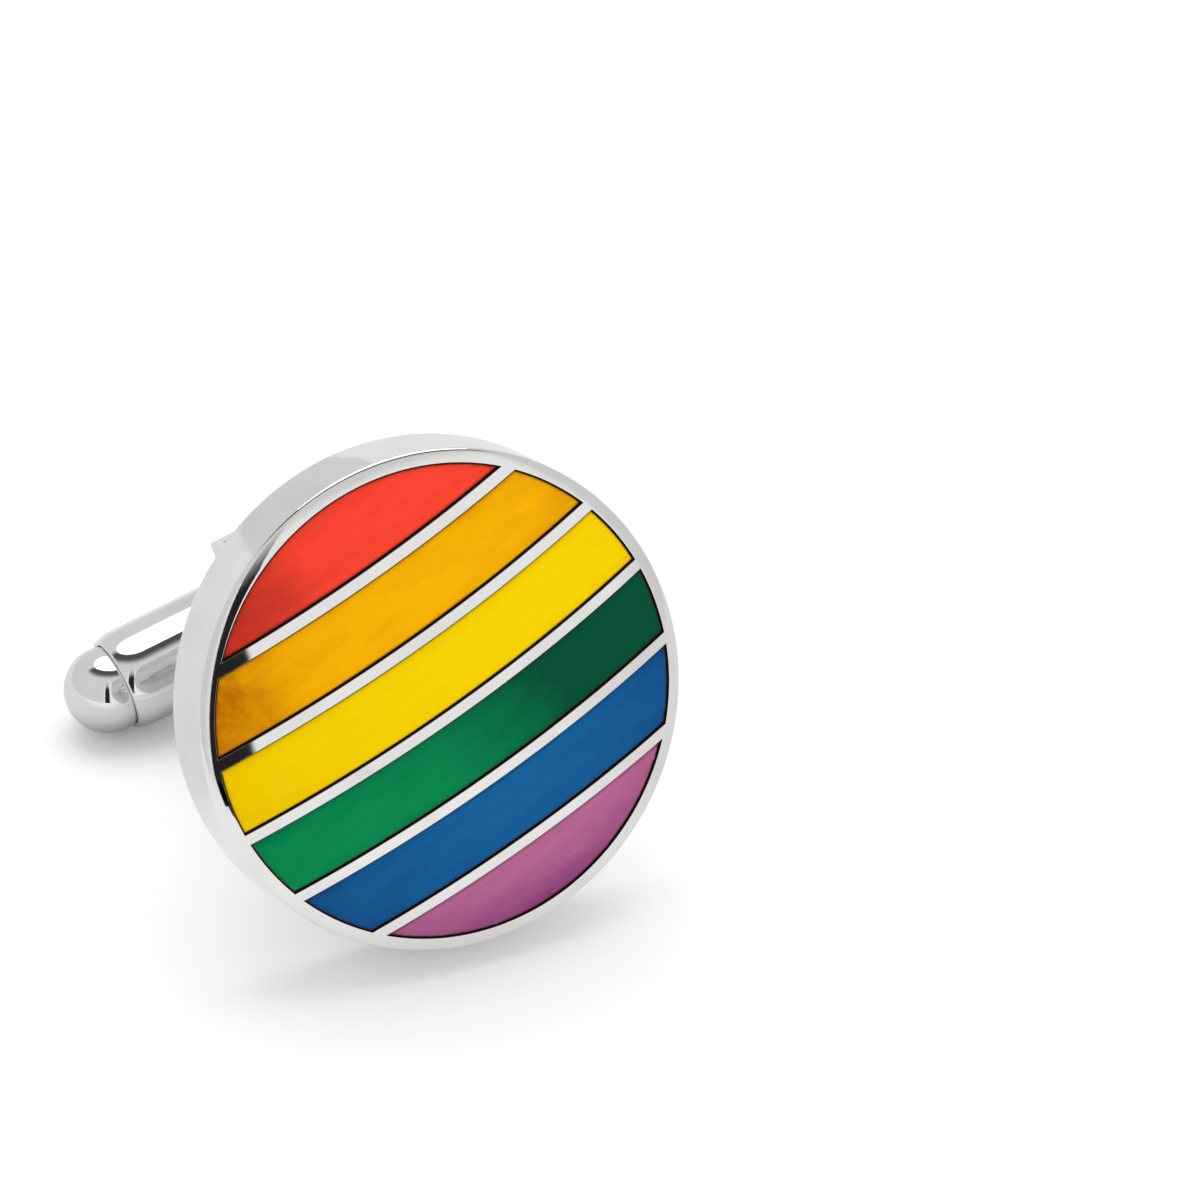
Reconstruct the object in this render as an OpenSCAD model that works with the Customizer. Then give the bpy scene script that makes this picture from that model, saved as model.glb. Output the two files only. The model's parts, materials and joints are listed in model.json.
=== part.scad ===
/* [Face] */
// Diameter of the round face
face_d = 19; // [16:0.5:24]
// Height of the straight side wall
wall_h = 3.1; // [2.4:0.1:4.5]
// Rise of the domed face above its edge
dome_h = 1.7; // [1:0.1:2.4]
// Width of the metal ring round the enamel
rim_w = 0.45; // [0.3:0.05:0.8]
// Bevel along both edges of the side wall
edge_bevel = 0.15; // [0.1:0.05:0.3]
// Depth of the field inside the back's narrow rim
field_depth = 0.1; // [0.05:0.05:0.3]
// Width of the back's narrow rim
back_rim_w = 0.5; // [0.3:0.1:1]

/* [Stripes] */
// Spacing of the metal lines between the stripes
line_pitch = 3.05; // [2.2:0.05:3.3]
// Width of each metal line
line_w = 0.45; // [0.3:0.05:0.8]
// Turn of the stripes from the bar, in degrees
line_turn = 9; // [-45:1:45]
// Depth of the enamel cells below the metal
cell_depth = 0.7; // [0.4:0.05:1]
// How far the enamel lies below the metal lines
enamel_sink = 0.08; // [0.02:0.02:0.2]
// Dark gap between the enamel and the walls of its cell
enamel_gap = 0.03; // [0.01:0.01:0.06]

/* [Post] */
// Distance from the back of the face to the pivot
post_h = 14.7; // [13:0.1:20]
// Width of the strip that the post is bent from
strip_w = 2.45; // [2.2:0.05:3]
// Thickness of the strip
strip_t = 0.8; // [0.6:0.05:1]
// Outer radius of the two bends at the foot
bend_r = 1.4; // [1.2:0.1:2]
// Rounding along the outer edges of the strip
strip_edge_r = 0.3; // [0.1:0.05:0.4]
// Length of each leg past the pivot
leg_end = 2.2; // [1.8:0.1:3]
// Distance from the pivot to the slope on each leg end
slope_start = 1.3; // [1.1:0.1:1.6]
// Angle of that slope to the leg
slope_turn = 22; // [10:1:35]
// Clearance between the barrel and each leg
leg_gap = 0.25; // [0.1:0.05:0.5]
// Half length of the solder fillet along the foot
fillet_y = 3; // [2.4:0.1:4]
// Half width of the solder fillet across the foot
fillet_x = 1.88; // [1.7:0.02:2.6]
// Height of the solder fillet
fillet_h = 0.4; // [0.2:0.05:0.6]
// Corner radius of the solder fillet
fillet_r = 1.5; // [1.2:0.05:1.6]
// How far the fillet's side runs in as it rises
fillet_slope = 0.45; // [0.2:0.05:0.6]

/* [Pivot] */
// Side of the square bar that joins the leg ends
block_w = 1.5; // [1.2:0.05:1.6]
// Clearance round each piece that is fixed in another
fit_gap = 0.02; // [0.01:0.01:0.05]
// Diameter of the round shoulders on the square bar
shoulder_d = 2.4; // [2.3:0.05:2.6]
// Width of the bare stretch between the shoulders
flat_len = 1.8; // [1.6:0.1:2]
// Radial clearance of everything that runs or slides
run_gap = 0.05; // [0.02:0.01:0.08]

/* [Bar] */
// Diameter of the barrel
barrel_d = 3.9; // [3.6:0.1:5]
// Length of the barrel between its lips
barrel_len = 14.6; // [13:0.2:19]
// Wall of the barrel
barrel_wall = 0.45; // [0.35:0.05:0.5]
// Width of the lip round each nose
lip_w = 0.27; // [0.25:0.01:0.35]
// Rounding of the lip
lip_r = 0.2; // [0.1:0.05:0.25]
// How far the lip grips into the nose
lip_bite = 0.07; // [0.05:0.01:0.1]
// How far each nose's ball centre lies outside its lip
nose_out = 0.12; // [0:0.02:0.4]
// Length of each nose's shank inside the barrel
shank_len = 1.3; // [0.8:0.1:1.6]
// Free length of the side windows each way past the shoulders
window_play = 0.68; // [0.4:0.02:1]
// Corner radius of the side windows
window_r = 0.7; // [0.4:0.05:1]

/* [Detent] */
// Length of each plunger's body
plunger_len = 1.9; // [1.4:0.1:2.4]
// Diameter of the spring wire
wire_d = 0.3; // [0.2:0.05:0.35]
// Mean diameter of the springs
spring_d = 2.1; // [1.8:0.05:2.2]
// Turns of each spring
spring_turns = 4; // [3:1:5]

/* [Hidden] */
$fn = 96;

// Cuts run this far past the faces that they go through
over = 1;

// Stripes from the top of the face to the bottom
line_count = 5;

// Face and its domed surfaces, which share one centre
face_r = face_d / 2;
enamel_r = face_r - rim_w;
dome_r = (face_r * face_r + dome_h * dome_h) / (2 * dome_h);
dome_z = dome_h - dome_r;
seat_z = field_depth - wall_h;

// Turn of the case's seam, which sets where the facets of a mesh made from it meet the table
seam_turn = 1.5;

// Bar, its noses and its bore
barrel_r = barrel_d / 2;
barrel_half = barrel_len / 2;
bore_r = barrel_r - barrel_wall;
nose_r = barrel_r - lip_w;
nose_x = barrel_half + nose_out;
lip_hole_r = nose_r - lip_bite;
nose_seat_r = nose_r + fit_gap;
nose_back_x = barrel_half - lip_r - shank_len;

// Legs, measured from the axis of the post
leg_in = barrel_r + leg_gap;
leg_out = leg_in + strip_t;
tip_r = strip_w / 2;
pivot_z = -(wall_h + post_h);
tip_z = pivot_z - leg_end + tip_r;

// Pivot bar and what turns on it
shoulder_r = shoulder_d / 2;
block_corner_r = block_w / sqrt(2);
window_x = shoulder_r + window_play;
window_y = shoulder_r + run_gap;

// Plungers and springs along the bore
plunger_face_x = block_corner_r + run_gap;
plunger_body_x = shoulder_r + run_gap;
plunger_back_x = plunger_body_x + plunger_len;
spring_len = nose_back_x - plunger_back_x;
wire_sides = 6;
turn_steps = 12;

// The cufflink rests on the edge of its case, the lip of its barrel and the slope of one leg end.
// Each function below gives how far one of them reaches below the pivot at a lean and a roll.
rim_steps = 30;
function slope_outline(i) = let(
    a = i * 90 / rim_steps,
    y = leg_out - strip_edge_r + strip_edge_r * cos(a),
    past = slope_start + (leg_out - y) / tan(slope_turn),
    round_x = sqrt(max(0, tip_r * tip_r - pow(max(0, past - leg_end + tip_r), 2))))
    [min(tip_r - strip_edge_r + strip_edge_r * sin(a), round_x), y, past];
slope_points = [for (i = [0:rim_steps]) slope_outline(i)];
function leg_drop(lean, roll) = max([for (p = slope_points)
    (p.x * sin(roll) + p.y * cos(roll)) * cos(lean) + p.z * sin(lean)]);
function lip_drop(across) = lip_r + (barrel_r - lip_r) * sqrt(1 - across * across);

// Each function gives one of the two angles from the last pair, and a few passes settle both
function lean_from(lean, roll) =
    atan((face_r - leg_drop(lean, roll) / cos(lean)) / (post_h + edge_bevel));
function roll_from(lean, roll) = asin(
    (leg_drop(lean, roll) - lip_drop(sin(roll) * cos(lean)))
    / ((barrel_half - lip_r) * cos(lean)));
function settle(n, lean, roll) = n == 0 ? [lean, roll]
    : settle(n - 1, lean_from(lean, roll), roll_from(lean, roll));
first_lean = 20;
first_roll = 12;
passes = 24;
rest = settle(passes, first_lean, first_roll);
lean = rest[0];
roll = rest[1];
rest_h = face_r * cos(lean) + (wall_h - edge_bevel) * sin(lean);
back_y = (leg_end - pivot_z) * cos(lean) + (leg_in + strip_t / 2) * cos(roll) * sin(lean);
mid_y = (back_y - face_r * sin(lean)) / 2;

// Every piece is made with the face looking along Z and the bar along X, then laid down
module lie_down() {
    translate([0, -mid_y, rest_h]) rotate([90 - lean, 0, 0]) rotate([0, 0, roll]) children();
}

// Height on the face of the line below stripe k, counted from the top
function line_y(k) = ((line_count - 1) / 2 - k) * line_pitch;

// Outline of stripe k, drawn in from the walls of its cell by gap
module stripe_outline(k, gap) {
    top = k == 0 ? face_r : line_y(k - 1) - line_w / 2 - gap;
    bottom = k == line_count ? -face_r : line_y(k) + line_w / 2 + gap;
    rotate(line_turn) intersection() {
        circle(r = enamel_r - gap);
        translate([-face_r, bottom]) square([face_d, top - bottom]);
    }
}

// What stands over stripe k from the floor of its cell to the given depth below the dome
module stripe_fill(k, gap, top_depth) {
    intersection() {
        difference() {
            translate([0, 0, -cell_depth - over]) linear_extrude(cell_depth + dome_h + 2 * over)
                stripe_outline(k, gap);
            translate([0, 0, dome_z]) sphere(r = dome_r - cell_depth);
        }
        translate([0, 0, dome_z]) sphere(r = dome_r - top_depth);
    }
}

// Bevelled drum whose top is the domed face
module case_blank() {
    intersection() {
        rotate(seam_turn) rotate_extrude() polygon([
            [0, -wall_h],
            [face_r - edge_bevel, -wall_h],
            [face_r, edge_bevel - wall_h],
            [face_r, -edge_bevel],
            [face_r - edge_bevel - dome_h, dome_h],
            [0, dome_h]]);
        translate([0, 0, dome_z]) sphere(r = dome_r);
    }
}

module case() {
    color("silver") lie_down() difference() {
        case_blank();
        for (k = [0:line_count]) stripe_fill(k, 0, -over);
        translate([0, 0, -wall_h - over]) cylinder(r = face_r - back_rim_w, h = over + field_depth);
    }
}

module enamel(k) {
    lie_down() stripe_fill(k, enamel_gap, enamel_sink);
}

module enamel_red() { color("red") enamel(0); }
module enamel_orange() { color("orange") enamel(1); }
module enamel_yellow() { color("gold") enamel(2); }
module enamel_green() { color("seagreen") enamel(3); }
module enamel_blue() { color("steelblue") enamel(4); }
module enamel_purple() { color("orchid") enamel(5); }

// Cross section of the strip, with the inner face on the X axis and the outer edges rounded
module strip_section() {
    translate([-strip_w / 2, 0]) square([strip_w, strip_t - strip_edge_r]);
    translate([strip_edge_r - strip_w / 2, 0]) square([strip_w - 2 * strip_edge_r, strip_t]);
    for (side = [-1, 1])
        translate([side * (strip_w / 2 - strip_edge_r), strip_t - strip_edge_r])
            circle(r = strip_edge_r);
}

// One leg from the end of its bend to its round end, sloped on the outside
module leg() {
    difference() {
        union() {
            translate([0, leg_in, tip_z]) linear_extrude(seat_z - bend_r - tip_z) strip_section();
            intersection() {
                translate([0, leg_in, tip_z - tip_r]) linear_extrude(tip_r) strip_section();
                translate([0, leg_in - over, tip_z]) rotate([-90, 0, 0])
                    cylinder(r = tip_r, h = strip_t + 2 * over);
            }
        }
        slope_cut();
        square_bar(fit_gap, over);
    }
}

// Space outside the sloped face of a leg end
module slope_cut() {
    translate([0, leg_out, pivot_z - slope_start]) rotate([-slope_turn, 0, 0])
        translate([-strip_w, 0, -2 * leg_end]) cube([2 * strip_w, strip_t + over, 2 * leg_end]);
}

// One quarter bend between the foot and a leg
module bend() {
    translate([0, leg_out - bend_r, seat_z - bend_r]) rotate([90, 0, 90])
        rotate_extrude(angle = 90) translate([bend_r - strip_t, 0]) rotate(-90) strip_section();
}

// Flat foot between the two bends
module foot() {
    foot_half = leg_out - bend_r;
    translate([0, foot_half, seat_z - strip_t]) rotate([90, 0, 0])
        linear_extrude(2 * foot_half) strip_section();
}

// The whole strip, bent to a U
module bent_strip() {
    foot();
    for (side = [0, 1]) mirror([0, side, 0]) {
        leg();
        bend();
    }
}

module post() {
    color("gainsboro") lie_down() bent_strip();
}

// Fillet of solder that runs round the foot, under its bends and up its sides
module solder_fillet() {
    color("lightgray") lie_down() difference() {
        hull() for (x = [-1, 1], y = [-1, 1])
            translate([x * (fillet_x - fillet_r), y * (fillet_y - fillet_r), seat_z - fillet_h])
                cylinder(r1 = fillet_r - fillet_slope, r2 = fillet_r, h = fillet_h, $fn = 32);
        bent_strip();
    }
}

// Square bar across the leg ends, widened all round by gap and lengthened each way by extra
module square_bar(gap, extra) {
    side = block_w + 2 * gap;
    translate([-side / 2, -leg_out - extra, pivot_z - side / 2])
        cube([side, 2 * (leg_out + extra), side]);
}

module pivot_bar() {
    color("darkgray") lie_down() {
        square_bar(0, 0);
        for (side = [0, 1]) mirror([0, side, 0])
            translate([0, flat_len / 2, pivot_z]) rotate([-90, 0, 0])
                cylinder(r = shoulder_r, h = leg_in - flat_len / 2);
    }
}

// Turns a piece made along Z into one along the bar, towards the given side
module along_bar(side) {
    translate([0, 0, pivot_z]) rotate([0, side * 90, 0]) children();
}

// Outline of the rounded window in each side of the barrel
module window_outline() {
    square([2 * window_x, 2 * (window_y - window_r)], center = true);
    square([2 * (window_x - window_r), 2 * window_y], center = true);
    for (x = [-1, 1], y = [-1, 1])
        translate([x * (window_x - window_r), y * (window_y - window_r)]) circle(r = window_r);
}

// Solid barrel with its rounded ends
module barrel_blank() {
    cylinder(r = barrel_r, h = barrel_len - 2 * lip_r, center = true);
    cylinder(r = barrel_r - lip_r, h = barrel_len, center = true);
    for (side = [-1, 1]) translate([0, 0, side * (barrel_half - lip_r)])
        rotate_extrude() translate([barrel_r - lip_r, 0]) circle(r = lip_r);
}

// Bore for the springs, with a wider seat for each nose behind its lip
module barrel_bore() {
    cylinder(r = bore_r, h = 2 * nose_back_x + lip_r, center = true);
    for (side = [0, 1]) mirror([0, 0, side]) {
        translate([0, 0, nose_back_x]) cylinder(r = nose_seat_r, h = shank_len);
        translate([0, 0, nose_back_x]) cylinder(r = lip_hole_r, h = shank_len + lip_r + over);
    }
}

module barrel() {
    color("silver") lie_down() difference() {
        along_bar(1) barrel_blank();
        along_bar(1) barrel_bore();
        translate([0, 0, pivot_z]) rotate([90, 0, 0])
            linear_extrude(barrel_d + 2 * over, center = true) window_outline();
    }
}

// Ball nose outside the lip, its neck through the lip and its shank in the seat
module nose(side) {
    lie_down() along_bar(side) {
        intersection() {
            translate([0, 0, nose_x]) sphere(r = nose_r);
            translate([0, 0, barrel_half]) cylinder(r = barrel_r, h = nose_out + 2 * nose_r);
        }
        translate([0, 0, nose_back_x])
            cylinder(r = lip_hole_r - fit_gap, h = barrel_half - nose_back_x);
        translate([0, 0, nose_back_x]) cylinder(r = nose_r, h = shank_len);
    }
}

module nose_left() { color("silver") nose(-1); }
module nose_right() { color("silver") nose(1); }

// Plunger in the bore, whose tip clears the shoulders and faces the square bar
module plunger(side) {
    lie_down() along_bar(side) {
        translate([0, 0, plunger_body_x]) cylinder(r = bore_r - run_gap, h = plunger_len);
        translate([0, 0, plunger_face_x])
            cylinder(r = flat_len / 2 - run_gap, h = plunger_body_x - plunger_face_x + run_gap);
    }
}

module plunger_left() { color("dimgray") plunger(-1); }
module plunger_right() { color("dimgray") plunger(1); }

// Points of one ring of the wire at step i of a coil that climbs by pitch each turn
function wire_ring(i, pitch) = let(
    turn = i * 360 / turn_steps,
    climb = atan(pitch / (PI * spring_d)),
    out = [cos(turn), sin(turn), 0],
    up = [sin(turn) * sin(climb), -cos(turn) * sin(climb), cos(climb)],
    centre = [0, 0, wire_d / 2 + i * pitch / turn_steps] + spring_d / 2 * out)
    [for (j = [0:wire_sides - 1]) centre
        + wire_d / 2 * (cos(j * 360 / wire_sides) * out + sin(j * 360 / wire_sides) * up)];

// Coil spring between the plunger's back and the nose
module spring(side) {
    steps = spring_turns * turn_steps;
    pitch = (spring_len - wire_d) / spring_turns;
    points = [for (i = [0:steps]) each wire_ring(i, pitch)];
    walls = [for (i = [0:steps - 1], j = [0:wire_sides - 1]) let(
        a = i * wire_sides + j,
        b = i * wire_sides + (j + 1) % wire_sides)
        each [[a, b, b + wire_sides], [a, b + wire_sides, a + wire_sides]]];
    first_cap = [for (j = [wire_sides - 1:-1:0]) j];
    last_cap = [for (j = [0:wire_sides - 1]) steps * wire_sides + j];
    lie_down() along_bar(side) translate([0, 0, plunger_back_x])
        polyhedron(points, concat(walls, [first_cap, last_cap]));
}

module spring_left() { color("slategray") spring(-1); }
module spring_right() { color("slategray") spring(1); }

case();
enamel_red();
enamel_orange();
enamel_yellow();
enamel_green();
enamel_blue();
enamel_purple();
solder_fillet();
post();
pivot_bar();
barrel();
nose_left();
nose_right();
plunger_left();
plunger_right();
spring_left();
spring_right();
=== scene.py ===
"""Dresses the CAD frame of a round cufflink with rainbow enamel stripes and a swivel bar.

Lengths are millimetres in the face's frame and angles are degrees, unless a line says otherwise.
"""

import json
import logging
import math
from dataclasses import dataclass
from enum import Enum
from typing import Any, Callable, ClassVar, Iterable, Mapping, Sequence

import bmesh
import bpy
from mathutils import Euler, Matrix, Vector


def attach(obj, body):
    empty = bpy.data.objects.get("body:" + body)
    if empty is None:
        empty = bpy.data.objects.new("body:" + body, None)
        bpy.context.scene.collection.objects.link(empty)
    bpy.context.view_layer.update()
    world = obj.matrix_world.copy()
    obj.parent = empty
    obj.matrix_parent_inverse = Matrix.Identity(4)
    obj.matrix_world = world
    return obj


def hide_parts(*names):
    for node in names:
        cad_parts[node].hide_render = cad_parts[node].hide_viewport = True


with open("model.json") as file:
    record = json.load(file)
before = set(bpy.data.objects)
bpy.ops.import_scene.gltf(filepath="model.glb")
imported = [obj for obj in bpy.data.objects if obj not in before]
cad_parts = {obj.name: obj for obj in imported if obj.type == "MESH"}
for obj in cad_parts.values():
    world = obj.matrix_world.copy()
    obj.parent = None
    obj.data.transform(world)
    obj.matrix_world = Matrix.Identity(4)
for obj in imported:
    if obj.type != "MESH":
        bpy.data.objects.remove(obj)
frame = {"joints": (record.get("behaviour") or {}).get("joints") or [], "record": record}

LOG = logging.getLogger("cufflink")
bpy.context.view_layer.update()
MM = 0.001
ORIGIN = (0.0, 0.0, 0.0)
Pair = tuple[float, float]
Point = tuple[float, float, float]
Colour = Point


def turn_by(angle: float, axis: str) -> Matrix:
    """Gives a turn about the axis X, Y or Z."""
    return Matrix.Rotation(math.radians(angle), 4, axis)


def arc(middle: Pair, radius: float, start: float, end: float, steps: int) -> list[Pair]:
    """Gives points of an arc in a profile.

    Args:
        middle: Its middle.
        radius: Its radius.
        start: Its first angle, from outwards towards up.
        end: Its last angle.
        steps: Its number of steps.

    Returns:
        The points.
    """
    turns = [math.radians(start + (end - start) * i / steps) for i in range(steps + 1)]
    return [(middle[0] + radius * math.cos(a), middle[1] + radius * math.sin(a)) for a in turns]


# ---- where things lie


class End(Enum):
    """An end of the swivel bar, with the sign of its side."""

    LEFT = -1
    RIGHT = 1

    def __str__(self) -> str:
        """Gives the end's name as it stands in the names of pieces."""
        return self.name.lower()


@dataclass(frozen=True)
class Sizes:
    """Sizes that several pieces share."""

    face_r: float = 9.5
    enamel_r: float = 9.0
    gap: float = 0.03
    wall: float = 3.1
    field: float = 0.1
    dome_r: float = 27.3941
    dome_h: float = 1.7
    line_turn: float = 9.0
    line_pitch: float = 3.05
    line_w: float = 0.45
    stripes: int = 6
    cell: float = 0.7
    pivot_z: float = -17.8
    leg_in: float = 2.2
    leg_out: float = 3.0
    foot_x: float = 3.76
    foot_y: float = 6.0

    @property
    def dome_z(self) -> float:
        """Gives the height of the dome's centre."""
        return self.dome_h - self.dome_r

    @property
    def seat_z(self) -> float:
        """Gives the height of the field in the back."""
        return self.field - self.wall

    def stripe(self, row: int) -> Pair:
        """Gives the walls of one stripe's cell, across the lines.

        Args:
            row: The stripe's number from the top of the face.

        Returns:
            The low and the high wall.
        """
        last = self.stripes - 1
        middle = (last / 2 - row) * self.line_pitch
        half = (self.line_pitch - self.line_w) / 2
        low = -self.face_r if row == last else middle - half
        high = self.face_r if row == 0 else middle + half
        return low, high

    def along_bar(self, end: End = End.RIGHT) -> Matrix:
        """Turns a piece made along Z into one along the bar, towards the given end."""
        return Matrix.Translation((0.0, 0.0, self.pivot_z)) @ turn_by(90.0 * end.value, "Y")


SIZES = Sizes()


def face_frame() -> Matrix:
    """Reads the face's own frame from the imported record, in metres.

    Returns:
        X along the bar, Y along the pivot and Z out of the striped face, from the middle of the
        face at the height of its edge.
    """
    rim = next(m for m in frame["record"]["mounts"] if m["name"] == "case_rim")
    out = Vector(rim["axis"]).normalized()
    across = Vector(frame["joints"][0]["axis"]).normalized()
    along = across.cross(out).normalized()
    origin = Vector(rim["pos_m"]) + out * (SIZES.wall / 2 * MM)
    turn = Matrix((along, out.cross(along), out)).transposed().to_4x4()
    return Matrix.Translation(origin) @ turn


FACE = face_frame()


# ---- shader maths


def _operator(operation: str, reflected: bool = False) -> Callable[["Value", "Number"], "Value"]:
    """Makes a method that adds one Math node.

    Args:
        operation: The node's operation.
        reflected: Whether the other operand comes first.

    Returns:
        The method, from the value and the other operand to the node's result.
    """

    def method(self: "Value", other: "Number") -> "Value":
        """Gives the operation's result."""
        first, second = (other, self) if reflected else (self, other)
        return self.tree.node("Math", {0: first, 1: second}, operation=operation)

    return method


class Value:
    """A socket in a node tree, on which arithmetic adds Math nodes."""

    def __init__(self, tree: "ShaderTree", socket: bpy.types.NodeSocket | None) -> None:
        """Wraps an output socket of a tree."""
        self.tree = tree
        self.socket = socket

    __add__ = __radd__ = _operator("ADD")
    __sub__ = _operator("SUBTRACT")
    __rsub__ = _operator("SUBTRACT", reflected=True)
    __mul__ = __rmul__ = _operator("MULTIPLY")
    __truediv__ = _operator("DIVIDE")
    least = _operator("MINIMUM")
    most = _operator("MAXIMUM")

    def step(self, low: float, high: float) -> "Value":
        """Gives a mask that rises smoothly from 0 to 1 between two values.

        Args:
            low: The value where it starts.
            high: The value where it is full, above or below low.

        Returns:
            The mask.
        """
        ends = (low, high, 0.0, 1.0) if low < high else (high, low, 1.0, 0.0)
        sockets = dict(enumerate((self, *ends)))
        return self.tree.node("MapRange", sockets, interpolation_type="SMOOTHSTEP")


Number = Value | float


class Ray(Enum):
    """A kind of ray that a shader can tell from the others."""

    CAMERA = "Is Camera Ray"
    GLOSSY = "Is Glossy Ray"


class ShaderTree:
    """The nodes of one material or world."""

    def __init__(self, owner: bpy.types.Material | bpy.types.World) -> None:
        """Takes over the nodes of a material or world, and empties them.

        Args:
            owner: The material or world.
        """
        owner.use_nodes = True
        self.tree = owner.node_tree
        self.tree.nodes.clear()

    def node(
        self, kind: str, sockets: Mapping[Any, Any], output: Any = 0, **settings: Any
    ) -> Value:
        """Adds one node of any kind.

        Args:
            kind: The node's type, without ShaderNode before it.
            sockets: Values or links of its input sockets, by name or number.
            output: Name or number of the output that is wanted.
            settings: The node's settings, which are set first.

        Returns:
            That output, empty if the node has none.
        """
        made = self.tree.nodes.new("ShaderNode" + kind)
        for name, value in settings.items():
            setattr(made, name, value)
        for name, value in sockets.items():
            if isinstance(value, Value):
                self.tree.links.new(value.socket, made.inputs[name])
            else:
                made.inputs[name].default_value = value
        return Value(self, made.outputs[output] if made.outputs else None)

    def ray(self, kind: Ray) -> Value:
        """Gives 1 for rays of one kind and 0 for the others."""
        return self.node("LightPath", {}, kind.value)

    def noise(self, place: Value, scale: float, detail: float = 3.0, rough: float = 0.5) -> Value:
        """Gives noise from 0 to 1, whose scale is blotches per millimetre of the coordinates."""
        sockets = {"Vector": place, "Scale": scale, "Detail": detail, "Roughness": rough}
        return self.node("TexNoise", sockets, noise_dimensions="3D")

    def mix(self, mask: Number, low: Any, high: Any) -> Value:
        """Mixes two colours, the first where the mask is 0 and the second where it is 1."""
        sockets = {0: mask, 6: rgba(low), 7: rgba(high)}
        return self.node("Mix", sockets, 2, data_type="RGBA")

    def face_place(self, stretch: Point = (1.0, 1.0, 1.0), turn: float = 0.0) -> Value:
        """Gives the place in the face's own frame.

        Args:
            stretch: Scale along each axis of that frame, after the turn.
            turn: Turn of the pattern about the face's normal.

        Returns:
            The coordinates.
        """
        back = (FACE @ turn_by(turn, "Z")).inverted()
        sockets = {
            "Vector": self.node("TexCoord", {}, "Object"),
            "Location": back.to_translation(),
            "Rotation": back.to_euler("XYZ"),
        }
        local = self.node("Mapping", sockets, vector_type="POINT")
        scale = tuple(s / MM for s in stretch)
        return self.node("VectorMath", {0: local, 1: scale}, operation="MULTIPLY")

    def length(self, x: Number, y: Number, z: Number = 0.0) -> Value:
        """Gives the length of a vector from its three numbers."""
        vector = self.node("CombineXYZ", {0: x, 1: y, 2: z})
        return self.node("VectorMath", {0: vector}, "Value", operation="LENGTH")

    def axes(self, place: Value) -> tuple[Value, ...]:
        """Splits coordinates into their three numbers."""
        first = self.node("SeparateXYZ", {0: place})
        return tuple(Value(self, part) for part in first.socket.node.outputs)

    def bump(self, height: Value, depth: float) -> Value:
        """Gives a normal bent by a height from 0 to 1, where 1 stands for the depth."""
        return self.node("Bump", {"Height": height, "Distance": depth * MM})

    def surface(self, sockets: Mapping[str, Any]) -> None:
        """Ends the tree in one Principled shader with these values and links."""
        self.finish(self.node("BsdfPrincipled", sockets))

    def finish(self, shader: Value, kind: str = "OutputMaterial") -> None:
        """Joins a shader to the tree's output."""
        self.node(kind, {"Surface": shader})


def rgba(colour: Any) -> Any:
    """Adds the alpha that a colour socket wants, and leaves a link as it is."""
    return colour if isinstance(colour, Value) else (*colour, 1.0)


# ---- finishes


class Wear(Enum):
    """How the metal was last worked, and how rough that leaves its grain."""

    POLISHED = 0.02
    TUMBLED = 0.08
    DRAWN = 0.10


class Finish:
    """A finish, which makes its own material."""

    name: str

    def material(self) -> bpy.types.Material:
        """Makes the material.

        Returns:
            The material.
        """
        made = bpy.data.materials.new(self.name)
        self.paint(ShaderTree(made))
        return made

    def paint(self, tree: ShaderTree) -> None:
        """Fills the material's nodes."""
        raise NotImplementedError


@dataclass(frozen=True)
class SilverMetal(Finish):
    """Bright silver-coloured plating with a soft polish.

    Clouds, grains and dents are counted per millimetre. Each pair about the enamel cells gives
    the place where the mask of the painted shade on their walls starts and the place where it
    is full.
    """

    name: str
    wear: Wear = Wear.POLISHED
    tint: Colour = (0.80, 0.80, 0.795)
    shade: Colour = (0.74, 0.74, 0.735)
    gloss: float = 0.022
    ripple: float = 0.0010
    clouds: float = 0.55
    grains: float = 9.0
    dents: float = 1.1
    cells: bool = False
    # Painted shade on the walls and floors of the enamel cells.
    oxide: Colour = (0.030, 0.014, 0.008)
    cell_depth: Pair = (0.035, 0.050)
    cell_front: Pair = (-0.62, -0.60)
    cell_ring: Pair = (9.07, 9.05)

    def paint(self, tree: ShaderTree) -> None:
        """Fills the material's nodes.

        Args:
            tree: The nodes.
        """
        stretch = (1.0, 6.0, 6.0) if self.wear is Wear.DRAWN else (1.0, 1.0, 1.0)
        place = tree.face_place(stretch)
        cloud = tree.noise(place, self.clouds, 2.0)
        grain = tree.noise(place, self.grains, 3.0, 0.6)
        rough = self.gloss + self.wear.value * grain + 0.03 * cloud.step(0.40, 0.80)
        height = 0.7 * tree.noise(place, self.dents, 1.5) + 0.3 * grain
        colour = tree.mix(cloud.step(0.3, 0.8), self.tint, self.shade)
        metallic: Number = 1.0
        if self.cells:
            # The cells' walls and floors take the painted shade: dark, not metallic and rougher.
            wall = self._in_cells(tree)
            colour = tree.mix(wall, colour, self.oxide)
            metallic = 1.0 - wall
            rough = rough + 0.4 * wall
        tree.surface(
            {
                "Base Color": colour,
                "Metallic": metallic,
                "Roughness": rough,
                "Normal": tree.bump(height, self.ripple),
            }
        )

    def _in_cells(self, tree: ShaderTree) -> Value:
        """Masks the walls and floors of the enamel cells, where shade is painted.

        Args:
            tree: The nodes.

        Returns:
            1 there and 0 on the bright metal.
        """
        x, y, z = tree.axes(tree.face_place())
        deep = (SIZES.dome_r - tree.length(x, y, z - SIZES.dome_z)).step(*self.cell_depth)
        return deep * z.step(*self.cell_front) * tree.length(x, y).step(*self.cell_ring)


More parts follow.
